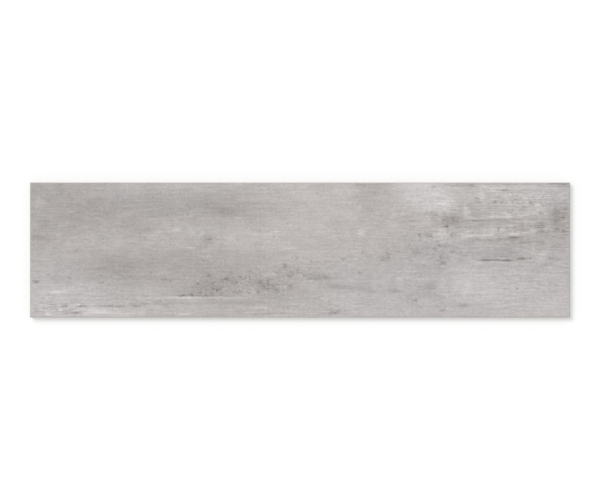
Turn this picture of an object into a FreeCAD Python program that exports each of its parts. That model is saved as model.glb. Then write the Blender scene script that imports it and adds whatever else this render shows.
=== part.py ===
"""Porcelain plank tile: one pressed and fired slab, ground square on its four sides.

The tile lies on its back. X runs along the plank, Y across it and Z up out of the printed face.
The origin is the middle of the back. All sizes are in millimetres, and angles in degrees.

The back is pressed with a lattice of low ribs inside a flat rim. The shallow keys between the
ribs are what the adhesive grips. Ribs and rim stand on one plane, which the tile rests on.
"""

import FreeCAD, Part

import os

from enum import IntEnum
from FreeCAD import Vector
from Sketcher import Constraint

# Driving dimensions: alias, value and what it is.
SIZES = (
    ("tile_length", 600.0, "plank from end to end"),
    ("tile_width", 150.0, "plank from side to side"),
    ("tile_thickness", 9.0, "from the foot of the ribs to the face"),
    ("face_bevel", 0.8, "leg of the 45 degree bevel ground round the face"),
    ("back_arris", 0.5, "leg of the 45 degree arris ground round the back"),
    ("rim_width", 8.0, "flat rim of the back, outside the keys"),
    ("rib_width", 2.4, "flat foot of a rib"),
    ("least_key_step", 22.0, "least distance from one key to the next"),
    ("key_depth", 0.6, "how far the keys are sunk between the ribs"),
    ("key_draft", 30.0, "slope of the rib and rim walls, so that the press lets go"),
)

# Worked-out dimensions: alias, formula and what it is.
# The numbers of keys are even, so that two ribs cross at the middle of the back.
DERIVED = (
    ("key_columns", "=2 * floor((tile_length - 2 * rim_width + rib_width) / least_key_step / 2)",
     "keys along the plank"),
    ("key_rows", "=2 * floor((tile_width - 2 * rim_width + rib_width) / least_key_step / 2)",
     "keys across the plank"),
    ("column_step", "=(tile_length - 2 * rim_width + rib_width) / key_columns",
     "from one key to the next along the plank"),
    ("row_step", "=(tile_width - 2 * rim_width + rib_width) / key_rows",
     "from one key to the next across the plank"),
    ("rib_root", "=rib_width + 2 * key_depth * tan(key_draft * 1 deg)",
     "a rib where it meets the floor of the keys"),
)

# Where two heights count as one.
SAME_PLACE = 1e-6

# What the constraints of a sketch call its own origin.
ORIGIN = -1


class Point(IntEnum):
    """The two ends of a line, as a sketch numbers them."""

    START = 1
    END = 2


def make_sheet(doc):
    """Writes the dimensions into the document's sheet, one row each."""
    sheet = doc.addObject("Spreadsheet::Sheet", "Sizes")
    for row, (alias, value, meaning) in enumerate(SIZES + DERIVED, start=1):
        sheet.set(f"A{row}", str(value))
        sheet.setAlias(f"A{row}", alias)
        sheet.set(f"B{row}", meaning)
    doc.recompute()
    return sheet


def origin_plane(body, role):
    """One of the body's own three planes."""
    return next(f for f in body.Origin.OriginFeatures if f.Role == role)


def new_sketch(body, name, role):
    """An empty sketch on one of the body's own planes."""
    sketch = body.newObject("Sketcher::SketchObject", name)
    sketch.AttachmentSupport = [(origin_plane(body, role), "")]
    sketch.MapMode = "FlatFace"
    return sketch


def draw_loop(sketch, corners):
    """Draws straight sides round a closed loop of corners and joins them end to end."""
    following = corners[1:] + corners[:1]
    sides = [
        sketch.addGeometry(Part.LineSegment(here, there), False)
        for here, there in zip(corners, following)
    ]
    for side, next_side in zip(sides, sides[1:] + sides[:1]):
        sketch.addConstraint(Constraint("Coincident", side, Point.END, next_side, Point.START))
    return sides


def span(direction, side, size):
    """A dimension from the start of a line to its end."""
    return Constraint(direction, side, Point.START, side, Point.END, size)


def bind(sketch, name, constraint, formula):
    """Adds a dimension to a sketch and ties it to the sheet."""
    index = sketch.addConstraint(constraint)
    sketch.renameConstraint(index, name)
    sketch.setExpression(f"Constraints.{name}", formula)


def make_rectangle(body, name, length, length_formula, width, width_formula):
    """A rectangle on the plane of the back, with its middle on the origin."""
    sketch = new_sketch(body, name, "XY_Plane")
    right, rear = length / 2, width / 2
    front_side, right_side, rear_side, left_side = draw_loop(sketch, [
        Vector(-right, -rear, 0),
        Vector(right, -rear, 0),
        Vector(right, rear, 0),
        Vector(-right, rear, 0),
    ])
    for side in (front_side, rear_side):
        sketch.addConstraint(Constraint("Horizontal", side))
    for side in (right_side, left_side):
        sketch.addConstraint(Constraint("Vertical", side))
    sketch.addConstraint(Constraint("Symmetric", front_side, Point.START, rear_side, Point.START,
                                    ORIGIN, Point.START))
    bind(sketch, "Length", span("DistanceX", front_side, length), length_formula)
    bind(sketch, "Width", span("DistanceY", right_side, width), width_formula)
    return sketch


def press_slab(body, sheet):
    """The slab, from its back up to its face."""
    slab = body.newObject("PartDesign::Pad", "slab")
    slab.Profile = make_rectangle(body, "outline", sheet.tile_length, "Sizes.tile_length",
                                  sheet.tile_width, "Sizes.tile_width")
    slab.setExpression("Length", "Sizes.tile_thickness")
    body.Document.recompute()
    return slab


def edges_at(feature, height):
    """Names of the edges that lie wholly at one height."""
    return [
        f"Edge{number}"
        for number, edge in enumerate(feature.Shape.Edges, start=1)
        if all(abs(vertex.Z - height) < SAME_PLACE for vertex in edge.Vertexes)
    ]


def grind_edges(body, base, name, height, size):
    """Grinds a 45 degree bevel along the four edges at one height."""
    bevel = body.newObject("PartDesign::Chamfer", name)
    bevel.Base = (base, edges_at(base, height))
    bevel.setExpression("Size", size)
    body.Document.recompute()
    return bevel


def sink_field(body, sheet):
    """Sinks the back inside the rim to the floor of the keys."""
    field = body.newObject("PartDesign::Pocket", "field")
    field.Profile = make_rectangle(
        body, "field_outline",
        sheet.tile_length - 2 * sheet.rim_width, "Sizes.tile_length - 2 * Sizes.rim_width",
        sheet.tile_width - 2 * sheet.rim_width, "Sizes.tile_width - 2 * Sizes.rim_width")
    field.Reversed = True
    field.setExpression("Length", "Sizes.key_depth")
    body.Document.recompute()
    return field


def slope_rim(body, field, sheet):
    """Slopes the rim's four inner walls. Their foot stays at the rim's width."""
    walls = [
        f"Face{number}"
        for number, face in enumerate(field.Shape.Faces, start=1)
        if abs(face.BoundBox.ZMin) < SAME_PLACE
        and abs(face.BoundBox.ZMax - sheet.key_depth) < SAME_PLACE
    ]
    slope = body.newObject("PartDesign::Draft", "rim_slope")
    slope.Base = (field, walls)
    slope.NeutralPlane = (origin_plane(body, "XY_Plane"), [""])
    slope.setExpression("Angle", "Sizes.key_draft")
    body.Document.recompute()
    return slope


def make_rib_section(body, sheet, name, role, first, first_formula):
    """The section of the first rib: narrow at its foot and wider at its root."""
    sketch = new_sketch(body, name, role)
    half_foot, half_root, depth = sheet.rib_width / 2, sheet.rib_root / 2, sheet.key_depth
    foot, right_wall, root, left_wall = draw_loop(sketch, [
        Vector(first - half_foot, 0, 0),
        Vector(first + half_foot, 0, 0),
        Vector(first + half_root, depth, 0),
        Vector(first - half_root, depth, 0),
    ])
    sketch.addConstraint(Constraint("Horizontal", foot))
    sketch.addConstraint(Constraint("Horizontal", root))
    sketch.addConstraint(Constraint("Equal", left_wall, right_wall))
    sketch.addConstraint(Constraint("PointOnObject", foot, Point.START, ORIGIN))
    bind(sketch, "Foot", span("DistanceX", foot, 2 * half_foot), "Sizes.rib_width")
    bind(sketch, "Root", Constraint("DistanceX", root, Point.END, root, Point.START, 2 * half_root),
         "Sizes.rib_root")
    bind(sketch, "Height", span("DistanceY", right_wall, depth), "Sizes.key_depth")
    from_middle = Constraint("DistanceX", foot, Point.START, ORIGIN, Point.START,
                             half_foot - first)
    bind(sketch, "FromMiddle", from_middle, first_formula)
    return sketch


def press_ribs(body, sheet, name, role, across, count, step):
    """Ribs that run one way over the field and end inside the rim."""
    first = -(getattr(sheet, count) / 2 - 1) * getattr(sheet, step)
    from_middle = f"(Sizes.{count} / 2 - 1) * Sizes.{step} + Sizes.rib_width / 2"
    section = make_rib_section(body, sheet, f"{name}_section", role, first, from_middle)
    rib = body.newObject("PartDesign::Pad", name)
    rib.Profile = section
    rib.Midplane = True
    rib.setExpression("Length", f"Sizes.{across} - Sizes.rim_width")
    body.Document.recompute()
    ribs = body.newObject("PartDesign::LinearPattern", f"{name}s")
    ribs.Originals = [rib]
    ribs.Direction = (section, ["H_Axis"])
    ribs.setExpression("Length", f"(Sizes.{count} - 2) * Sizes.{step}")
    ribs.setExpression("Occurrences", f"Sizes.{count} - 1")
    body.Tip = ribs
    body.Document.recompute()


def make_tile(doc, sheet):
    """The whole tile, one solid."""
    body = doc.addObject("PartDesign::Body", "plank_tile")
    body.Label = "plank_tile"
    slab = press_slab(body, sheet)
    bevelled = grind_edges(body, slab, "bevelled_face", sheet.tile_thickness, "Sizes.face_bevel")
    grind_edges(body, bevelled, "eased_back", 0.0, "Sizes.back_arris")
    slope_rim(body, sink_field(body, sheet), sheet)
    press_ribs(body, sheet, "long_rib", "YZ_Plane", "tile_length", "key_rows", "row_step")
    press_ribs(body, sheet, "cross_rib", "XZ_Plane", "tile_width", "key_columns", "column_step")
    return body


def check_sound(doc, part):
    """Stops if an object of the document failed, or the piece isn't one sound solid."""
    for item in doc.Objects:
        if {"Invalid", "Error"} & set(item.State):
            raise RuntimeError(f"{item.Name} failed: {item.State}")
    shape = part.Shape
    if shape.isNull() or not shape.isValid() or len(shape.Solids) != 1:
        raise RuntimeError(f"{part.Label} isn't one sound solid")


def check_keys(part, sheet):
    """Stops unless every key has its floor, at the depth of the keys."""
    floors = sum(
        all(abs(vertex.Z - sheet.key_depth) < SAME_PLACE for vertex in face.Vertexes)
        for face in part.Shape.Faces
    )
    keys = sheet.key_columns * sheet.key_rows
    if floors != keys:
        raise RuntimeError(f"the back should have {keys:.0f} keys, and has {floors}")


def main():
    doc = FreeCAD.newDocument("plank_tile")
    sheet = make_sheet(doc)
    tile = make_tile(doc, sheet)
    doc.recompute()
    check_sound(doc, tile)
    check_keys(tile, sheet)
    os.makedirs("parts", exist_ok=True)
    tile.Shape.exportStep(os.path.join("parts", f"{tile.Label}.step"))


main()
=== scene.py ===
"""The looks of the wood look porcelain plank tile: its printed face, ground edges and keyed back."""

import math

import bmesh
import bpy
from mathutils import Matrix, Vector


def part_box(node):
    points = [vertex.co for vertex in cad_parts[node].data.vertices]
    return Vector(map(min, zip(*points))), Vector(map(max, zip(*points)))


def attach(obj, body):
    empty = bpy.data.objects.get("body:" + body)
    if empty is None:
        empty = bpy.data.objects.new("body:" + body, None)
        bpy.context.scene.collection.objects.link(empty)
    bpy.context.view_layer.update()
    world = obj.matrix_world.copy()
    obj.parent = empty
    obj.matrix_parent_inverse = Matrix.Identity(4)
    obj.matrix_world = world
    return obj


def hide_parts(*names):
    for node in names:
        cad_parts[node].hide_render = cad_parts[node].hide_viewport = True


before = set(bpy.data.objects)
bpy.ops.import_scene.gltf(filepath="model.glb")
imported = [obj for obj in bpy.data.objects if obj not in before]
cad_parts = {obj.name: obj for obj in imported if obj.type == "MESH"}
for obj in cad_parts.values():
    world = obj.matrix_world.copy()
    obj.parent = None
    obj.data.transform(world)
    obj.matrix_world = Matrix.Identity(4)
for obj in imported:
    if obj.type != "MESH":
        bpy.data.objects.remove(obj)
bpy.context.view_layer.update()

MM = 0.001

# The pressed and ground form, in metres. The slab's own size comes from the CAD part.
low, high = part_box("plank_tile")
LENGTH, WIDTH, THICKNESS = high - low
FACE_BEVEL = 0.8 * MM
BACK_ARRIS = 0.5 * MM
RIM_WIDTH = 8.0 * MM
RIB_WIDTH = 2.4 * MM
KEY_DEPTH = 0.6 * MM
KEY_DRAFT = math.radians(30)
KEY_COLUMNS = 26
KEY_ROWS = 6
PRESSED_ROUND = 0.12 * MM

# The face's relief, in metres. It only goes down from the face, and not as far as RELIEF_FLOOR.
# The face is ruled into columns and rows twice over, first coarse and then fine.
RELIEF_FLOOR = THICKNESS - 0.3 * MM
RELIEF_COLUMNS = (15, 20)
RELIEF_ROWS = (12, 20)
GRAIN_DEPTH = 0.10 * MM
GRAIN_SIZE = 2.6 * MM
GRAIN_STRETCH = 14.0
GRAIN_DETAIL = 3
ROLL_DEPTH = 0.12 * MM
ROLL_SIZE = 22.0 * MM
ROLL_STRETCH = 3.0
ROLL_DETAIL = 1

# The value in the relief's patterns that lies level with the face, and where they are centred.
PATTERN_TOP = 0.85
PATTERN_MIDDLE = (0.013, 0.007, 0.4)

# How far an edge turns before it is shaded crisp, and before a rib's edge is rounded.
CRISP_TURN = math.radians(25)
ROUNDED_TURN = math.radians(15)

# How near to a plane a point counts as on it, and what share of a direction has to point along
# an axis for it to count as that way.
NEAR = 0.02 * MM
THAT_WAY = 0.999


# Shaping the slab.

def pick(piece, kind, test):
    """In edit mode, selects the faces or edges that pass a test, and nothing else."""
    mode = {"faces": "FACE", "edges": "EDGE"}[kind]
    bpy.ops.mesh.select_mode(type=mode)
    bpy.ops.mesh.select_all(action="DESELECT")
    mesh = bmesh.from_edit_mesh(piece.data)
    for item in getattr(mesh, kind):
        if test(item):
            item.select_set(True)
    bmesh.update_edit_mesh(piece.data)


def at_height(item, height):
    """Whether an edge or a face lies level at a height."""
    return all(abs(vertex.co.z - height) < NEAR for vertex in item.verts)


def runs_along(edge, axis):
    """Whether an edge runs along an axis: 0 for the plank's length, 1 for its width."""
    return abs((edge.verts[1].co - edge.verts[0].co).normalized()[axis]) > THAT_WAY


def on_side(edge):
    """Whether an edge lies in one of the four ground sides."""
    return any(
        all(abs(abs(vertex.co[axis]) - size / 2) < NEAR for vertex in edge.verts)
        for axis, size in ((0, LENGTH), (1, WIDTH))
    )


def is_under_side(face):
    """Whether a face lies in the plane that the tile rests on, and looks down."""
    return at_height(face, 0.0) and face.normal.z < -THAT_WAY


def press_slab():
    """The plain block that the press leaves, at its fired size."""
    bpy.ops.object.select_all(action="DESELECT")
    bpy.ops.mesh.primitive_cube_add(size=1, location=(low + high) / 2,
                                    scale=(LENGTH, WIDTH, THICKNESS))
    slab = bpy.context.object
    slab.name = "tile_slab"
    bpy.ops.object.transform_apply(location=True, rotation=True, scale=True)
    return slab


def grind_edges(slab):
    """The bevel round the face and the smaller arris round the back."""
    for height, size in ((THICKNESS, FACE_BEVEL), (0.0, BACK_ARRIS)):
        pick(slab, "edges", lambda edge: at_height(edge, height))
        bpy.ops.mesh.bevel(offset=size, segments=1)


def press_keys(slab):
    """The lattice of ribs on the back, inside its rim, with a shallow key in each opening."""
    field = Vector((LENGTH / 2 - RIM_WIDTH, WIDTH / 2 - RIM_WIDTH))

    def in_field(item, margin):
        """Whether an edge or a face lies inside the rim, or past it by a margin at most."""
        return all(abs(vertex.co.x) < field.x + margin and abs(vertex.co.y) < field.y + margin
                   for vertex in item.verts)

    def in_lattice(face):
        """Whether a face is one of those that the ribs cut into keys."""
        return is_under_side(face) and in_field(face, RIB_WIDTH)

    # The rim starts half a rib too narrow, because each key is then inset by as much all round.
    pick(slab, "faces", is_under_side)
    bpy.ops.mesh.inset(thickness=RIM_WIDTH - BACK_ARRIS - RIB_WIDTH / 2)
    for axis, reach, count in ((0, field.x, KEY_COLUMNS), (1, field.y, KEY_ROWS)):
        step = (2 * reach + RIB_WIDTH) / count
        normal = Vector((0, 0, 0))
        normal[axis] = 1
        for number in range(1, count):
            pick(slab, "faces", in_lattice)
            bpy.ops.mesh.bisect(plane_co=normal * (number - count / 2) * step, plane_no=normal)
    pick(slab, "faces", in_lattice)
    bpy.ops.mesh.inset(use_individual=True, thickness=RIB_WIDTH / 2)
    bpy.ops.mesh.inset(use_individual=True, thickness=KEY_DEPTH * math.tan(KEY_DRAFT),
                       depth=-KEY_DEPTH)
    pick(slab, "edges", lambda edge: in_field(edge, NEAR) and len(edge.link_faces) == 2
         and edge.calc_face_angle() > ROUNDED_TURN)
    bpy.ops.mesh.bevel(offset=PRESSED_ROUND, segments=2)


def rule_face(slab):
    """Rules the face into fine cells, for its relief to be pressed into."""
    for axis, divisions in ((0, RELIEF_COLUMNS), (1, RELIEF_ROWS)):
        for parts in divisions:
            pick(slab, "edges", lambda edge: runs_along(edge, axis)
                 and (at_height(edge, THICKNESS) or on_side(edge)))
            bpy.ops.mesh.subdivide(number_cuts=parts - 1)


def press_pattern(slab, name, area, depth, size, stretch, detail):
    """Presses a cloudy pattern into an area, drawn out along the plank."""
    bpy.ops.object.empty_add(location=PATTERN_MIDDLE, scale=(stretch, 1, 1))
    run = bpy.context.object
    pattern = bpy.data.textures.new(name, "CLOUDS")
    pattern.noise_scale = size
    pattern.noise_depth = detail
    press = slab.modifiers.new(name, "DISPLACE")
    press.texture = pattern
    press.texture_coords = "OBJECT"
    press.texture_coords_object = run
    press.vertex_group = area.name
    press.direction = "Z"
    press.mid_level = PATTERN_TOP
    press.strength = depth
    bpy.ops.object.select_all(action="DESELECT")
    slab.select_set(True)
    bpy.context.view_layer.objects.active = slab
    bpy.ops.object.modifier_apply(modifier=name)
    bpy.data.objects.remove(run)


def press_relief(slab):
    """Shallow brushed grain and a slow roll in the face, both stretched along the plank."""
    top = slab.vertex_groups.new(name="face")
    top.add([v.index for v in slab.data.vertices if v.co.z > THICKNESS - NEAR], 1.0, "REPLACE")
    press_pattern(slab, "grain", top, GRAIN_DEPTH, GRAIN_SIZE, GRAIN_STRETCH, GRAIN_DETAIL)
    press_pattern(slab, "roll", top, ROLL_DEPTH, ROLL_SIZE, ROLL_STRETCH, ROLL_DETAIL)
    slab.vertex_groups.clear()


def make_slab():
    """The whole tile as one piece, before its finishes."""
    slab = press_slab()
    bpy.ops.object.mode_set(mode="EDIT")
    grind_edges(slab)
    press_keys(slab)
    rule_face(slab)
    bpy.ops.object.mode_set(mode="OBJECT")
    press_relief(slab)
    bpy.ops.object.shade_smooth_by_angle(angle=CRISP_TURN)
    return slab


def cover(slab, material, test):
    """Gives a material to the faces that pass a test."""
    slab.data.materials.append(material)
    slab.active_material_index = len(slab.data.materials) - 1
    bpy.ops.object.mode_set(mode="EDIT")
    pick(slab, "faces", test)
    bpy.ops.object.material_slot_assign()
    bpy.ops.object.mode_set(mode="OBJECT")


def is_printed(face):
    """Whether a face carries the print: the tile's face with its relief, inside the bevel."""
    return face.calc_center_median().z > RELIEF_FLOOR


def is_ground(face):
    """Whether a face lies below the print and above the floor. The back takes its share later."""
    return NEAR < face.calc_center_median().z <= RELIEF_FLOOR


def is_unglazed(face):
    """Whether a face belongs to the back: its rim, ribs and keys, inside the arris."""
    middle = face.calc_center_median()
    return (middle.z < KEY_DEPTH + NEAR and abs(middle.x) < LENGTH / 2 - BACK_ARRIS
            and abs(middle.y) < WIDTH / 2 - BACK_ARRIS)


# Mixing the finishes.

# A Mix node's colours go by number, because each of its names stands for several sockets.
MIX_FIRST = 6
MIX_SECOND = 7
MIX_RESULT = 2

# The middle of a noise, and of a tone, which both go from 0 to 1.
MIDDLE = 0.5


class Recipe:
    """The nodes of one material or group, added and joined by name."""

    def __init__(self, tree):
        self.tree = tree

    def join(self, value, socket):
        """Leads another node's output to a socket, or sets a plain value there."""
        if isinstance(value, bpy.types.NodeSocket):
            self.tree.links.new(value, socket)
        else:
            socket.default_value = value

    def add(self, kind, inputs=None, **settings):
        """A new node with its settings and what goes into its sockets."""
        node = self.tree.nodes.new(kind)
        for name, value in settings.items():
            setattr(node, name, value)
        for name, value in (inputs or {}).items():
            self.join(value, node.inputs[name])
        return node

    def use(self, group, inputs):
        """What a shared node group puts out for these inputs."""
        return self.add("ShaderNodeGroup", inputs, node_tree=group).outputs[0]

    def math(self, operation, *values, clamp=False):
        """A sum worked out with numbers."""
        inputs = dict(enumerate(values))
        return self.add("ShaderNodeMath", inputs, operation=operation, use_clamp=clamp).outputs[0]

    def vector(self, operation, first, second, output="Vector"):
        """A sum worked out with places or directions."""
        inputs = {0: first, 1: second}
        node = self.add("ShaderNodeVectorMath", inputs, operation=operation)
        return node.outputs[output]

    def stretch(self, place, by):
        """Places scaled along each axis, and with a zero flattened along it."""
        return self.vector("MULTIPLY", place, by)

    def noise(self, place, detail):
        """Soft noise with cells about one unit across: its Fac is one value, its Color three."""
        inputs = {"Vector": place, "Scale": 1.0, "Detail": detail}
        return self.add("ShaderNodeTexNoise", inputs).outputs

    def patches(self, place, length, height, detail):
        """Noise in patches of a fixed length and height, the same all through the thickness."""
        return self.noise(self.stretch(place, (1 / length, 1 / height, 0)), detail)

    def drawn_out(self, place, length, height, detail):
        """Noise drawn out along the plank, to a length and a height that other nodes may give."""
        along = self.math("DIVIDE", 1.0, length)
        across = self.math("DIVIDE", 1.0, height)
        scale = self.add("ShaderNodeCombineXYZ", {0: along, 1: across, 2: across}).outputs[0]
        return self.noise(self.stretch(place, scale), detail)["Fac"]

    def fade(self, value, start, end, at_start=0.0, at_end=1.0):
        """A soft step from one value to another."""
        inputs = {"Value": value, "From Min": start, "From Max": end, "To Min": at_start,
                  "To Max": at_end}
        return self.add("ShaderNodeMapRange", inputs, interpolation_type="SMOOTHSTEP").outputs[0]

    def ramp(self, value, stops):
        """A colour that goes with a value, by stops of a place and a colour."""
        node = self.add("ShaderNodeValToRGB", {"Fac": value})
        bands = node.color_ramp.elements
        while len(bands) < len(stops):
            bands.new(0.5)
        for band, (place, colour) in zip(bands, stops):
            band.position = place
            band.color = colour
        return node.outputs["Color"]

    def mix(self, share, first, second):
        """A blend of two colours, the second by its share."""
        inputs = {"Factor": share, MIX_FIRST: first, MIX_SECOND: second}
        return self.add("ShaderNodeMix", inputs, data_type="RGBA").outputs[MIX_RESULT]


def new_group(name, inputs, output):
    """An empty node group, with its recipe, its inputs and the end for its result.

    A number makes a plain input that starts at it, and None makes a place or a direction.
    """
    group = bpy.data.node_groups.new(name, "ShaderNodeTree")
    for label, start in inputs.items():
        kind = "NodeSocketVector" if start is None else "NodeSocketFloat"
        socket = group.interface.new_socket(label, in_out="INPUT", socket_type=kind)
        if start is not None:
            socket.default_value = start
    group.interface.new_socket(output, in_out="OUTPUT", socket_type="NodeSocketFloat")
    recipe = Recipe(group)
    given = recipe.add("NodeGroupInput").outputs
    return group, recipe, given, recipe.add("NodeGroupOutput").inputs[0]


def make_grain():
    """Brushed grain: noise stretched to a length and a height, centred on zero."""
    group, recipe, given, end = new_group("brushed grain", {
        "Place": None, "Length": 60.0, "Height": 2.0, "Detail": 3.0, "Strength": 0.1,
    }, "Grain")
    noise = recipe.drawn_out(given["Place"], given["Length"], given["Height"], given["Detail"])
    centred = recipe.math("SUBTRACT", noise, MIDDLE)
    doubled = recipe.math("MULTIPLY", given["Strength"], 2.0)
    recipe.join(recipe.math("MULTIPLY", centred, doubled), end)
    return group


def make_fine_line():
    """Hair lines along the grain: thin contours of stretched noise, as a mask."""
    group, recipe, given, end = new_group("fine line", {
        "Place": None, "Length": 60.0, "Height": 4.0, "Level": 0.5, "Thickness": 0.02,
    }, "Mask")
    noise = recipe.drawn_out(given["Place"], given["Length"], given["Height"], 3.0)
    away = recipe.math("ABSOLUTE", recipe.math("SUBTRACT", noise, given["Level"]))
    recipe.join(recipe.fade(away, 0.0, given["Thickness"], at_start=1.0, at_end=0.0), end)
    return group


def make_speckle():
    """Specks of about one size, as a mask: the parts of a noise above a level."""
    group, recipe, given, end = new_group("speckle", {
        "Place": None, "Size": 2.0, "Level": 0.6, "Softness": 0.08,
    }, "Mask")
    scale = recipe.math("DIVIDE", 1.0, given["Size"])
    noise = recipe.noise(recipe.stretch(given["Place"], scale), 1.0)["Fac"]
    top = recipe.math("ADD", given["Level"], given["Softness"])
    recipe.join(recipe.fade(noise, given["Level"], top), end)
    return group


def make_brushed_mark():
    """One soft mark of the print, laid over the tone that comes in.

    Along and Across are the mark's two axes, each divided by the mark's reach that way.
    """
    group, recipe, given, end = new_group("brushed mark", {
        "Tone": 0.0, "Place": None, "Middle": None, "Along": None, "Across": None,
        "Strength": 0.0,
    }, "Tone")
    from_middle = recipe.vector("SUBTRACT", given["Place"], given["Middle"])
    along = recipe.vector("DOT_PRODUCT", from_middle, given["Along"], output="Value")
    across = recipe.vector("DOT_PRODUCT", from_middle, given["Across"], output="Value")
    away = recipe.math("MULTIPLY_ADD", across, across, recipe.math("MULTIPLY", along, along))
    mask = recipe.fade(recipe.math("SQRT", away), 0.0, 1.0, at_start=1.0, at_end=0.0)
    recipe.join(recipe.math("MULTIPLY_ADD", mask, given["Strength"], given["Tone"]), end)
    return group


grain_group = make_grain()
line_group = make_fine_line()
speckle_group = make_speckle()
mark_group = make_brushed_mark()


def grain(recipe, place, length, height, detail, strength):
    """Brushed grain in a finish, with lengths in millimetres."""
    return recipe.use(grain_group, {"Place": place, "Length": length, "Height": height,
                                    "Detail": detail, "Strength": strength})


def specks(recipe, place, size, level, softness):
    """Specks in a finish: the higher the level, the fewer they are."""
    return recipe.use(speckle_group, {"Place": place, "Size": size, "Level": level,
                                      "Softness": softness})


def srgb(red, green, blue):
    """A screen colour as the linear colour that a shader takes."""
    def linear(level):
        """One of its levels, from 0 to 255, as a linear share."""
        share = level / 255
        return share / 12.92 if share <= 0.04045 else ((share + 0.055) / 1.055) ** 2.4
    return (linear(red), linear(green), linear(blue), 1.0)


def new_finish(name):
    """A new material with its recipe, its shader and the place on the tile in millimetres."""
    material = bpy.data.materials.new(name)
    material.use_nodes = True
    recipe = Recipe(material.node_tree)
    shader = material.node_tree.nodes["Principled BSDF"]
    place = recipe.add("ShaderNodeTexCoord").outputs["Object"]
    return material, recipe, shader, recipe.stretch(place, (1 / MM, 1 / MM, 1 / MM))


def lay_finish(recipe, shader, colour, roughness, relief, strength, depth, gloss):
    """Gives a finish's colour, roughness, fine relief and gloss to its shader."""
    bump = recipe.add("ShaderNodeBump", {"Height": relief, "Strength": strength,
                                         "Distance": depth})
    recipe.join(colour, shader.inputs["Base Color"])
    recipe.join(roughness, shader.inputs["Roughness"])
    recipe.join(bump.outputs[0], shader.inputs["Normal"])
    shader.inputs["Specular IOR Level"].default_value = gloss


# The printed face.

# The base tone, in levels of grey, and what one level is in a tone from 0 to 1.
BASE_LEVEL = 180
LEVEL = 0.01

# What evens out the marks and specks, in levels, so that the whole has the print's mean tone.
BASE_TOUCH = -1.0

# How busy with streaks and how warm the print is where no mark changes it.
BASE_BUSY = 0.78
BASE_WARMTH = 0.46

# Soft marks of the print. Each row is a mark: its middle along and across the
# plank from the plank's centre, its half length and half height, its turn in degrees, and how
# many levels of grey it adds. Lengths are in millimetres, and rows go from left to right.
BROAD_MARKS = (
    (-294, 12, 60, 28, 0, -9),
    (-290, -62, 130, 46, 0, 11),
    (-285, 66, 60, 20, 0, -8),
    (-262, 34, 70, 30, 0, -4),
    (-225, 46, 150, 46, 0, -14),
    (-204, -18, 38, 18, 0, -9),
    (-200, -72, 120, 22, 0, 5),
    (-190, -32, 50, 18, 0, -6),
    (-190, -17, 104, 34, 0, -11),
    (-150, 70, 130, 16, 0, 4),
    (-112, -46, 60, 18, 0, -7),
    (-108, -14, 96, 30, 0, -10),
    (-88, 48, 112, 30, 0, -14),
    (-62, -34, 112, 30, 3, -8),
    (-58, 14, 96, 24, 0, 4),
    (-20, -50, 50, 14, 0, -5),
    (0, 72, 80, 24, 0, 5),
    (14, 42, 130, 66, 0, 6),
    (50, 66, 22, 20, 0, 4),
    (70, -68, 130, 22, 0, 7),
    (76, 60, 30, 52, 0, -9),
    (120, 74, 26, 12, 0, 8),
    (136, 62, 50, 34, 0, 19),
    (150, -2, 76, 24, 4, -5),
    (150, 48, 50, 22, 0, 5),
    (172, 72, 84, 20, 0, 7),
    (178, -48, 34, 14, 0, 5),
    (192, -38, 62, 40, 0, 11),
    (200, 6, 40, 14, 0, 7),
    (236, 12, 92, 28, 8, -7),
    (246, 66, 88, 28, 0, 13),
    (262, -60, 110, 56, 0, 10),
    (290, 28, 40, 50, 0, -10),
)

# Smaller smudges and streaks.
SMALL_MARKS = (
    (-291, 13, 20, 6, 0, -9),
    (-290, 54, 11, 16, 0, 8),
    (-268, -47, 22, 4, 4, 10),
    (-227, -67, 34, 8, 0, 12),
    (-190, -70, 54, 5, 0, 8),
    (-182, 20, 34, 14, 0, -6),
    (-172, -60, 56, 4, 0, -8),
    (-137, 23, 9, 4, 0, 16),
    (-121, 41, 6, 6, 0, 12),
    (-120, 22, 8, 7, 0, 12),
    (-110, 19, 4, 8, 20, 14),
    (-108, 6, 34, 13, 0, -7),
    (-101, -41, 32, 14, 2, -12),
    (-101, 12, 12, 8, 0, -18),
    (-80, -32, 12, 6, 0, -13),
    (-80, 42, 30, 8, 2, -11),
    (-72, -58.5, 58, 4, 0, -15),
    (-44, 12, 10, 30, 0, -5),
    (-41, -38, 20, 11, -16, -16),
    (-31, -26, 8, 6, 0, 10),
    (-17, -17, 8, 7, 30, -10),
    (20, -29, 24, 7, -12, -16),
    (38, -70, 14, 4, 10, -9),
    (42, -40, 22, 5, -6, -14),
    (68, 20, 8, 9, 0, 17),
    (72, -44.5, 28, 5, -8, -12),
    (96, -8, 13, 8, 0, -13),
    (106, -45, 16, 3, -4, -16),
    (111, -31, 8, 6, 0, 11),
    (130, -2, 14, 6, 0, -13),
    (144, -41, 13, 9, 0, -22),
    (148, 39, 11, 7, 0, -6),
    (156, -16, 7, 34, -12, -11),
    (157, 18, 14, 11, 0, 17),
    (164, 51, 20, 18, 0, 14),
    (168, 33, 26, 10, 0, -20),
    # A dark band along the top edge.
    (176, 73, 34, 5, 0, -16),
    (182, -61, 14, 4, 0, -13),
    (185, 19, 12, 8, 0, 14),
    (205, 11, 24, 3, 0, -8),
    (212, 21, 34, 8, 2, 13),
    (222, 31, 62, 5, 2, -9),
    (226, -6, 48, 7, -1, -10),
    (231, 61, 11, 5, 0, 11),
    (234, 13, 18, 4, 4, -18),
    (250, 57, 9, 5, 0, 12),
    (264, 46, 13, 8, 0, 19),
    (268, 8, 8, 5, 0, -6),
    (268, 24, 9, 12, 0, -15),
    (270, -4, 11, 6, 0, 15),
    (286, 37, 9, 22, 0, -18),
    # More of the dark band along the top edge.
    (287, 73, 26, 5, 0, -16),
)

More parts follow.
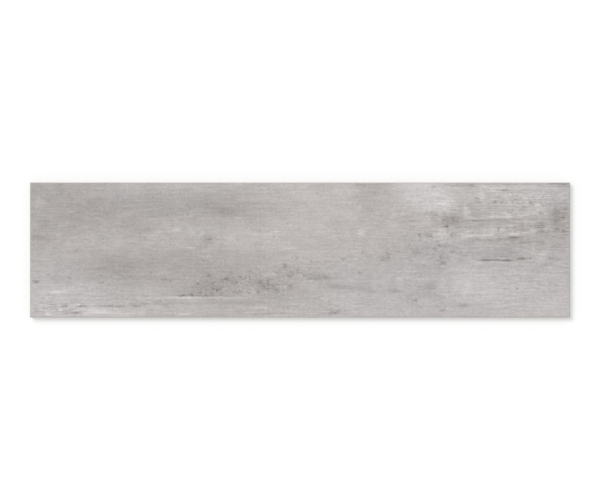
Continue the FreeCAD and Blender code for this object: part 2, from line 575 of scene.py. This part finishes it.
# The darkest pocks, and the pale ones among them.
KNOTS = (
    (-293, -35, 7, 2.4, 0, -44),
    (-280, -27, 4, 3, 0, -18),
    (-255, -31, 4, 2.4, 0, -26),
    (-248, 0, 3, 2.4, 0, -18),
    (-149, -33, 13, 2.2, 0, -28),
    (-131, -50.5, 7, 2.2, 0, -34),
    (-121, -50, 5, 2.8, 0, -34),
    (-104, -50, 5, 2.4, 0, -20),
    (-101, -28, 4, 3.6, 0, -32),
    (-82, -32, 4.8, 3.2, 20, -32),
    (-74, -37, 3, 2.6, -40, -18),
    (-67, -30, 4, 2.4, 0, -18),
    (-56, -30, 3, 2.6, 0, -16),
    (-47, -47, 4, 3, 20, -24),
    (-44, -35, 4, 3, -30, -18),
    (-38, -40, 4, 3.4, -30, -18),
    (-30, -40, 4, 2.8, -20, -16),
    (-26, -44, 5, 3, 0, -22),
    (-17, -42, 3, 2.4, 0, 24),
    (-17, -18, 4.4, 3.2, -30, -26),
    (-11, -40, 5, 3.4, 0, -34),
    (-11, -28.5, 7, 3.2, 0, -24),
    (-3, -9, 2.6, 2.6, 0, -20),
    (29, -30, 4.4, 2.4, -20, -11),
    (39, -69, 9, 2.2, 8, -34),
    (48, -10, 5.4, 2.4, 0, -28),
    (90, -11.5, 4, 2.2, 0, -26),
    (98, -6, 2.6, 3.4, 0, -22),
    (128, -56, 3.6, 3, 0, -38),
    (133, 17, 2.8, 3.2, 0, -40),
    (145, 16, 5, 2.2, 0, -24),
    (149, 70, 4, 3, 0, -20),
    (150, 1, 2.4, 3.2, 0, -30),
    (155, 6, 2.4, 5, 15, -30),
    (156, -7, 2.4, 5, 0, -20),
    (158, -67.5, 5.4, 2.2, 0, -32),
    (160, -14, 5, 2, 0, -22),
    (163, 26, 5, 3.4, 0, -44),
    (169, -2.5, 4, 3.4, 0, -22),
    (169, 16, 4.4, 2.4, 0, -38),
    (169, 36, 4, 3.6, 20, -22),
    (182, -62, 9, 2.4, 0, -12),
    (184, 46, 5, 9, 0, 14),
    (192, 71, 9, 1.8, 0, -20),
    (197, 11.5, 5, 3.4, 0, -18),
    (197, 57, 5, 2.2, 0, -44),
    (198, 53, 5, 1.8, 0, -20),
    (200, 58, 4, 26, 0, 6),
    (211, 11, 5, 2.4, 0, -16),
    (216, 53, 3.2, 2.8, 0, -28),
    (221, 23, 2, 5, 0, -36),
    (222, 12, 3, 3.2, 0, -20),
    (223, 53, 5, 2.2, 0, -44),
    (228, 41, 3, 2.4, 0, 18),
    (230, 24, 2, 5, 0, -26),
    (241, -42.5, 3, 3, 0, -32),
    (257, 52, 6, 3.6, 0, -42),
    (268, 41, 4, 2, 0, -32),
    (273, 22, 2, 4.4, 0, 24),
    (285, 22, 3, 4, 0, -14),
    (293, 21, 3.8, 2.6, 0, -30),
    (293, 36, 4, 2.8, 0, -24),
    (295, 46, 4, 3.4, 0, -24),
)

# Dark checks where the print looks cracked, and a dark line along the top edge at the right.
# All are thin, and broken along their length.
CHECKS_AND_EDGE_LINE = (
    (-292, -67.5, 5, 2, 0, -32),
    (-274, -60.5, 7, 2.2, 0, -36),
    (-262, -62, 9, 2.4, 0, -46),
    (-247, -69.5, 10, 2.4, 3, -46),
    (-242, -62.3, 9, 2.2, 0, -42),
    (-216, -62.3, 24, 1.6, 0, -36),
    (-199, -62.3, 8, 2, 0, -16),
    (-181, -62, 9, 1.8, 0, -16),
    (-116, -50.5, 42, 1.5, 0, -22),
    (190, 32.5, 18, 1.6, 0, -20),
    (206, -11.3, 13, 2.2, 0, -46),
    (219, -10.9, 8, 2, 0, -30),
    (221, 34.5, 18, 1.3, 0, -12),
    (226, 66.5, 13, 1.8, 0, -40),
    # A dark thin line along the top edge.
    (226, 73.2, 46, 1.1, 0, -26),
    (230, -11.5, 11, 2.4, 0, -50),
    (236, 13.5, 12, 1.9, 3, -32),
    (237, -3, 11, 1.8, 0, -32),
    (246, -9.8, 9, 2.4, 0, -50),
    (256, -9.5, 4, 2, 0, -22),
    (274, -17, 24, 1.6, 0, -24),
    (280, -9.5, 7, 2, 0, -20),
    # More of the dark thin line along the top edge.
    (286, 73.4, 22, 1.2, 0, -34),
)

# Pale scratches, the other way about.
SCRATCHES = (
    (-278, -72, 8, 1.8, -8, 32),
    (-272, -46.5, 16, 1.8, 2, 19),
    (-268, 16.5, 5, 3.4, 0, 16),
    (-266, -67, 5, 2.2, 28, 32),
    (-255, 43, 6, 1.8, 0, 18),
    (-246, -60, 5, 2, 0, 34),
    (-238, 26, 6, 1.8, 0, 20),
    (-206, -70, 60, 1.4, 0, 14),
    (-181, -53.5, 6, 1.8, 0, 30),
    (-128, -71.5, 10, 2.2, 0, 24),
    (-122, 2.5, 9, 2.4, 0, 24),
    (-110, -53, 82, 1.7, 0, 27),
    (-28, 20.5, 7, 1.8, 0, 26),
    (-11, 2, 18, 1.8, 4, 16),
    (27, -53.5, 8, 2, 0, 16),
    (191, 15.5, 22, 1.8, 0, 24),
    (211, 16.5, 12, 2.2, 0, 18),
    (221, 37, 24, 1.6, 0, 16),
    (223, 69.5, 12, 1.4, 0, 12),
    (232, 62, 30, 1.4, 0, 12),
    (241, 18, 18, 2.2, 5, 32),
    (250, 38.5, 14, 1.6, 8, 10),
    (261, 21.5, 16, 2.2, 10, 32),
)

# Where the print is warm or cool: the last number is the change in warmth.
WARM_MARKS = (
    (-285, -56, 130, 44, 0, -0.60),
    (-285, 10, 34, 24, 0, 0.35),
    (-262, -24, 40, 18, 0, -0.50),
    (-245, 50, 76, 36, 0, 0.42),
    (-196, 64, 24, 14, 0, -0.40),
    (-195, -18, 90, 34, 0, 0.35),
    (-150, 10, 190, 52, 0, 0.42),
    (-105, 22, 46, 14, 0, -0.72),
    (-70, -34, 120, 34, 0, 0.55),
    (-45, -66, 54, 16, 0, 0.36),
    (-12, 0, 20, 10, 0, -0.36),
    (40, 30, 210, 74, 0, 0.60),
    (46, -20, 20, 16, 0, -0.50),
    (76, -64, 64, 22, 0, -0.52),
    (140, 60, 46, 32, 0, -0.80),
    (155, 4, 60, 24, 0, -0.50),
    (170, -34, 190, 66, 0, -0.66),
    (196, 20, 26, 12, 0, -0.36),
    (240, 20, 76, 24, 0, 0.24),
    (242, -18, 36, 16, 0, 0.36),
    (280, 68, 48, 24, 0, -0.66),
    (290, -40, 24, 54, 0, -0.60),
)

# Where the print is busy with straight streaks, and where it is pocked like an old knot: the
# last number is how strongly.
BUSY = (
    (-280, -66, 50, 20, 0, 0.60),
    (-240, -62, 180, 30, 0, 0.75),
    (-20, 30, 160, 60, 0, -0.16),
    (-10, -68, 130, 14, 0, 0.60),
    (230, -40, 150, 60, 0, 0.35),
    (232, 34, 190, 70, 0, 1.1),
)
POCKED = (
    (-100, -44, 56, 14, 2, 0.8),
    (-62, -36, 96, 26, 3, 1.0),
    (8, -26, 40, 12, -10, 0.8),
    (10, -64, 70, 14, 0, 0.4),
    (118, 2, 90, 18, 4, 0.5),
    (140, -60, 90, 20, 0, 0.35),
    (166, 36, 28, 14, 0, 0.9),
    (240, 52, 80, 24, 0, 0.5),
    (286, 28, 26, 46, 0, 0.4),
)


def lay_marks(recipe, tone, place, marks, unit):
    """Lays a row of soft marks over a tone."""
    for along, across, length, height, turn, levels in marks:
        lean = math.radians(turn)
        tone = recipe.use(mark_group, {
            "Tone": tone, "Place": place, "Middle": (along, across, 0),
            "Along": (math.cos(lean) / length, math.sin(lean) / length, 0),
            "Across": (-math.sin(lean) / height, math.cos(lean) / height, 0),
            "Strength": levels * unit,
        })
    return tone


def brush(recipe, place, length, height, far, wide, detail=2.0):
    """Drags the places about in streaks, so that marks laid there get brushed edges."""
    streak = recipe.patches(place, length, height, detail)["Color"]
    centred = recipe.vector("SUBTRACT", streak, (MIDDLE, MIDDLE, MIDDLE))
    return recipe.vector("ADD", place, recipe.stretch(centred, (far, wide, 0)))


def grey_stops(red, green, blue):
    """A grey of one tint from dark to pale, even to the eye, about the base level."""
    stops = []
    for place in (0.0, 0.2, 0.4, 0.6, 0.8, 1.0):
        level = BASE_LEVEL + (place - MIDDLE) / LEVEL
        stops.append((place, srgb(level + red, level + green, level + blue)))
    return stops


class FacePrint:
    """The face's print, built up layer on layer over one tone. Sizes are in millimetres."""

    def __init__(self, recipe, place):
        self.recipe = recipe
        self.flat = recipe.stretch(place, (1, 1, 0))
        self.wandering = brush(recipe, self.flat, length=120, height=60, far=20, wide=7)
        self.cloudy = brush(recipe, self.flat, length=24, height=12, far=22, wide=11)
        self.brushed = brush(recipe, self.cloudy, length=36, height=2.2, far=26, wide=1.4)
        self.torn = brush(recipe, self.flat, length=16, height=1.4, far=9, wide=1.1)
        self.tone = MIDDLE + BASE_TOUCH * LEVEL

    def lay(self, layer, levels=None):
        """Adds a layer to the tone: as it is, or as a mask that is worth so many levels."""
        if levels is None:
            self.tone = self.recipe.math("ADD", self.tone, layer)
        else:
            self.tone = self.recipe.math("MULTIPLY_ADD", layer, levels * LEVEL, self.tone)

    def lay_marks(self, place, marks):
        """Adds soft marks to the tone."""
        self.tone = lay_marks(self.recipe, self.tone, place, marks, LEVEL)

    def grain(self, place, length, height, detail, levels):
        """Brushed grain that is worth so many levels either way."""
        return grain(self.recipe, place, length, height, detail, levels * LEVEL)

    def lay_shades(self):
        """The broad shades and smudges, and where the print is busy and where it is pocked."""
        self.lay_marks(self.brushed, BROAD_MARKS)
        smudged = brush(self.recipe, self.flat, length=20, height=2.4, far=16, wide=1.6)
        self.lay_marks(smudged, SMALL_MARKS)
        self.busy = lay_marks(self.recipe, BASE_BUSY, self.wandering, BUSY, 1.0)
        self.knots = lay_marks(self.recipe, 0.0, self.torn, POCKED, 1.0)

    def lay_grain(self):
        """Clouds and mottle, straight streaks and fibres, flecks and the finest tooth."""
        recipe = self.recipe
        cloud = self.grain(self.wandering, length=44, height=20, detail=4, levels=8)
        mottle = self.grain(self.cloudy, length=16, height=9, detail=4, levels=11)
        streaks = self.grain(self.wandering, length=96, height=2.6, detail=4, levels=12)
        self.fibres = self.grain(self.wandering, length=30, height=1.3, detail=3, levels=14)
        saw_marks = self.grain(self.flat, length=4.5, height=60, detail=3, levels=5)
        flecks = self.grain(self.wandering, length=9, height=2.8, detail=4, levels=16)
        tooth = self.grain(self.flat, length=2.8, height=2.1, detail=1, levels=13)
        self.tooth = recipe.math("MULTIPLY", tooth, recipe.math("ADD", self.knots, 1.0))

        patchy = recipe.patches(self.flat, length=46, height=24, detail=3.0)["Fac"]
        self.patchy = recipe.fade(patchy, 0.30, 0.70, at_start=0.35, at_end=1.55)
        straight = recipe.math("ADD", recipe.math("ADD", streaks, self.fibres), saw_marks)
        self.lay(recipe.math("MULTIPLY", straight, self.busy))
        flecks = recipe.math("MULTIPLY", recipe.math("MULTIPLY", flecks, self.patchy), self.busy)
        for layer in (cloud, mottle, flecks, self.tooth):
            self.lay(layer)

    def lay_specks(self):
        """Specks all over, dark in patches and pale throughout."""
        recipe = self.recipe
        dark = specks(recipe, self.flat, size=3.4, level=0.62, softness=0.16)
        self.lay(recipe.math("MULTIPLY", dark, self.patchy), levels=-16)
        pale = specks(recipe, self.wandering, size=3.2, level=0.64, softness=0.16)
        self.lay(pale, levels=14)

    def lay_pocks(self):
        """Dark pocks that gather in clumps where the print is knotty, and the darkest ones."""
        recipe = self.recipe
        clumps = recipe.patches(self.flat, length=11, height=7, detail=2.0)["Fac"]
        clumps = recipe.fade(clumps, 0.38, 0.62, at_start=0.30, at_end=1.0)
        long_places = recipe.stretch(self.flat, (0.72, 1, 0))
        large = specks(recipe, long_places, size=3.8, level=0.50, softness=0.26)
        small = specks(recipe, self.flat, size=2.2, level=0.56, softness=0.20)
        pocked = recipe.math("ADD", large, recipe.math("MULTIPLY", small, 0.6))
        clumped = recipe.math("MULTIPLY", pocked, clumps)
        self.pocks = recipe.math("MULTIPLY", clumped, self.knots)
        self.lay(self.pocks, levels=-34)
        ragged = brush(recipe, self.flat, length=4, height=3, far=10, wide=7, detail=4.0)
        self.lay_marks(ragged, KNOTS)

    def lay_checks_and_edge_line(self):
        """Checks, scratches and the dark line along the top edge, broken by the grain."""
        recipe = self.recipe
        broken = recipe.patches(self.flat, length=6, height=3, detail=2.0)["Fac"]
        broken = recipe.fade(broken, 0.36, 0.54, at_start=0.60, at_end=1.0)
        checks_and_edge_line = lay_marks(recipe, 0.0, self.torn, CHECKS_AND_EDGE_LINE + SCRATCHES, LEVEL)
        self.lay(recipe.math("MULTIPLY", checks_and_edge_line, broken))

    def lay_hairs(self):
        """Hair lines that follow the grain, where a fibre is dark."""
        recipe = self.recipe
        hairs = recipe.use(line_group, {"Place": self.wandering, "Length": 190, "Height": 5.0,
                                        "Level": 0.5, "Thickness": 0.016})
        on_fibres = recipe.fade(self.fibres, 0.0, -4 * LEVEL)
        hairs = recipe.math("MULTIPLY", hairs, on_fibres)
        self.lay(recipe.math("MULTIPLY", hairs, self.busy), levels=-7)

    def colour(self):
        """The tone as a grey, cool or warm by the marks and a slow drift."""
        recipe = self.recipe
        warmth = lay_marks(recipe, BASE_WARMTH, self.brushed, WARM_MARKS, 1.0)
        drift = grain(recipe, self.flat, length=70, height=22, detail=2, strength=0.30)
        warmth = recipe.fade(recipe.math("ADD", warmth, drift), 0.1, 0.9)
        cool = recipe.ramp(self.tone, grey_stops(3.3, -1.0, -2.0))
        warm = recipe.ramp(self.tone, grey_stops(4.5, -0.6, -3.8))
        return recipe.mix(warmth, cool, warm)

    def roughness(self):
        """Matte, a little smoother on pale fibres and rougher in the pocks."""
        rough = self.recipe.math("MULTIPLY_ADD", self.fibres, -0.9, 0.60)
        return self.recipe.math("MULTIPLY_ADD", self.pocks, 0.12, rough, clamp=True)

    def relief(self):
        """Height for the fine bump: fibres and tooth, less the pocks."""
        height = self.recipe.math("MULTIPLY_ADD", self.fibres, 0.6, self.tooth)
        return self.recipe.math("MULTIPLY_ADD", self.pocks, -0.10, height)


def make_face():
    """The printed matte glaze, weathered like old boards and troweled cement."""
    face, recipe, shader, place = new_finish("printed matte glaze")
    layers = FacePrint(recipe, place)
    layers.lay_shades()
    layers.lay_grain()
    layers.lay_specks()
    layers.lay_pocks()
    layers.lay_checks_and_edge_line()
    layers.lay_hairs()
    lay_finish(recipe, shader, layers.colour(), layers.roughness(), layers.relief(),
               strength=0.8, depth=0.6 * MM, gloss=0.35)
    return face


# The ground edges and the back.

def make_ground_edge():
    """Fired porcelain where the wheel has ground it: specks, and scratches on the long sides."""
    edge, recipe, shader, place = new_finish("ground porcelain edge")
    body = grain(recipe, place, length=3.0, height=2.4, detail=3, strength=0.16)
    scratches = grain(recipe, place, length=34, height=0.35, detail=2, strength=0.24)
    dark = specks(recipe, place, size=1.1, level=0.64, softness=0.05)
    tone = recipe.math("ADD", recipe.math("ADD", body, scratches), MIDDLE)
    tone = recipe.math("MULTIPLY_ADD", dark, -0.30, tone, clamp=True)
    colour = recipe.ramp(tone, ((0.0, srgb(156, 151, 146)), (0.5, srgb(190, 185, 180)),
                                (1.0, srgb(214, 210, 205))))
    roughness = recipe.math("MULTIPLY_ADD", scratches, 0.8, 0.66, clamp=True)
    lay_finish(recipe, shader, colour, roughness, scratches,
               strength=0.4, depth=0.12 * MM, gloss=0.3)
    return edge


def make_back():
    """The unglazed back: biscuit body, with pale kiln wash rubbed off on the ribs."""
    back, recipe, shader, place = new_finish("unglazed keyed back")
    body = grain(recipe, place, length=5, height=5, detail=4, strength=0.22)
    clouds = grain(recipe, place, length=60, height=40, detail=3, strength=0.30)
    dark = specks(recipe, place, size=1.2, level=0.63, softness=0.05)
    tone = recipe.math("ADD", recipe.math("ADD", body, clouds), MIDDLE)
    tone = recipe.math("MULTIPLY_ADD", dark, -0.35, tone, clamp=True)
    biscuit = recipe.ramp(tone, ((0.0, srgb(136, 130, 123)), (0.5, srgb(164, 158, 151)),
                                 (1.0, srgb(186, 181, 174))))

    # The wash covers the ribs and is gone a third of a millimetre up the keys' walls.
    height = recipe.add("ShaderNodeSeparateXYZ", {0: place}).outputs["Z"]
    on_ribs = recipe.fade(height, 0.35, 0.02)
    worn = recipe.noise(recipe.stretch(place, (1 / 14, 1 / 9, 1)), 4.0)["Fac"]
    worn = recipe.fade(worn, 0.36, 0.62, at_start=0.15, at_end=0.85)
    colour = recipe.mix(recipe.math("MULTIPLY", on_ribs, worn), biscuit, srgb(214, 211, 206))
    roughness = recipe.math("MULTIPLY_ADD", body, 0.3, 0.82, clamp=True)
    lay_finish(recipe, shader, colour, roughness, body, strength=0.5, depth=0.2 * MM, gloss=0.2)
    return back


# The studio, in metres. The floor lies a hair under the tile.
FLOOR_SIZE = 8
FLOOR_PLACE = (0, 0, -0.1 * MM)
FLOOR_COLOUR = (0.80, 0.80, 0.80, 1)
WHITE = (1, 1, 1, 1)

# How bright the floor glows and the room shines to the camera, and how bright the room lights.
FLOOR_GLOW = 0.22
ROOM_SEEN = 1.0
ROOM_LIGHT = 0.65

LAMP_PLACE = (-1.5, 1.3, 2.6)
LAMP_SPREAD = math.radians(28)
LAMP_POWER = 1.35

# The camera's height, and its lens and sensor in millimetres.
CAMERA_HEIGHT = 1.86
CAMERA_LENS = 100
CAMERA_SENSOR = 36


def seen_directly(recipe):
    """One for what the camera sees, also in a reflection or through glass, and else zero."""
    path = recipe.add("ShaderNodeLightPath").outputs
    seen = recipe.math("MAXIMUM", path["Is Camera Ray"], path["Is Glossy Ray"])
    return recipe.math("MAXIMUM", seen, path["Is Transmission Ray"])


def make_floor():
    """A plain white floor that keeps the tile's shadow. From below it is clear."""
    bpy.ops.object.select_all(action="DESELECT")
    bpy.ops.mesh.primitive_plane_add(size=FLOOR_SIZE, location=FLOOR_PLACE)
    floor = bpy.context.object
    floor.name = "studio_floor"
    paint = bpy.data.materials.new("studio floor")
    paint.use_nodes = True
    recipe = Recipe(paint.node_tree)
    nodes = paint.node_tree.nodes
    shader = nodes["Principled BSDF"]
    shader.inputs["Base Color"].default_value = FLOOR_COLOUR
    shader.inputs["Roughness"].default_value = 0.9
    shader.inputs["Specular IOR Level"].default_value = 0.0
    glow = recipe.add("ShaderNodeEmission", {
        "Color": WHITE, "Strength": recipe.math("MULTIPLY", seen_directly(recipe), FLOOR_GLOW),
    })
    lit = recipe.add("ShaderNodeAddShader", {0: shader.outputs[0], 1: glow.outputs[0]})
    clear = recipe.add("ShaderNodeBsdfTransparent")
    below = recipe.add("ShaderNodeNewGeometry").outputs["Backfacing"]
    one_sided = recipe.add("ShaderNodeMixShader", {0: below, 1: lit.outputs[0],
                                                   2: clear.outputs[0]})
    recipe.join(one_sided.outputs[0], nodes["Material Output"].inputs["Surface"])
    floor.data.materials.append(paint)
    floor.visible_diffuse = False
    floor.visible_shadow = False


def make_light():
    """Even light from all round, and one broad soft lamp, far off to the upper left."""
    world = bpy.data.worlds.new("studio")
    world.use_nodes = True
    bpy.context.scene.world = world
    recipe = Recipe(world.node_tree)
    room = world.node_tree.nodes["Background"]
    strength = recipe.math("MULTIPLY_ADD", seen_directly(recipe), ROOM_SEEN - ROOM_LIGHT,
                           ROOM_LIGHT)
    recipe.join(strength, room.inputs["Strength"])
    room.inputs["Color"].default_value = WHITE
    bpy.ops.object.light_add(type="SUN", location=LAMP_PLACE)
    lamp = bpy.context.object
    lamp.name = "soft_lamp"
    lamp.rotation_mode = "QUATERNION"
    lamp.rotation_quaternion = (-lamp.location).to_track_quat("-Z", "Y")
    lamp.data.angle = LAMP_SPREAD
    lamp.data.energy = LAMP_POWER


def make_camera():
    """Straight above the tile, as in the photograph."""
    bpy.ops.object.camera_add(location=(0, 0, CAMERA_HEIGHT), rotation=(0, 0, 0))
    camera = bpy.context.object
    camera.data.lens = CAMERA_LENS
    camera.data.sensor_width = CAMERA_SENSOR
    bpy.context.scene.camera = camera


slab = make_slab()
cover(slab, make_face(), is_printed)
cover(slab, make_ground_edge(), is_ground)
cover(slab, make_back(), is_unglazed)
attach(slab, "root")
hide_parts("plank_tile")

make_floor()
make_light()
make_camera()
bpy.context.scene.view_settings.view_transform = "Standard"
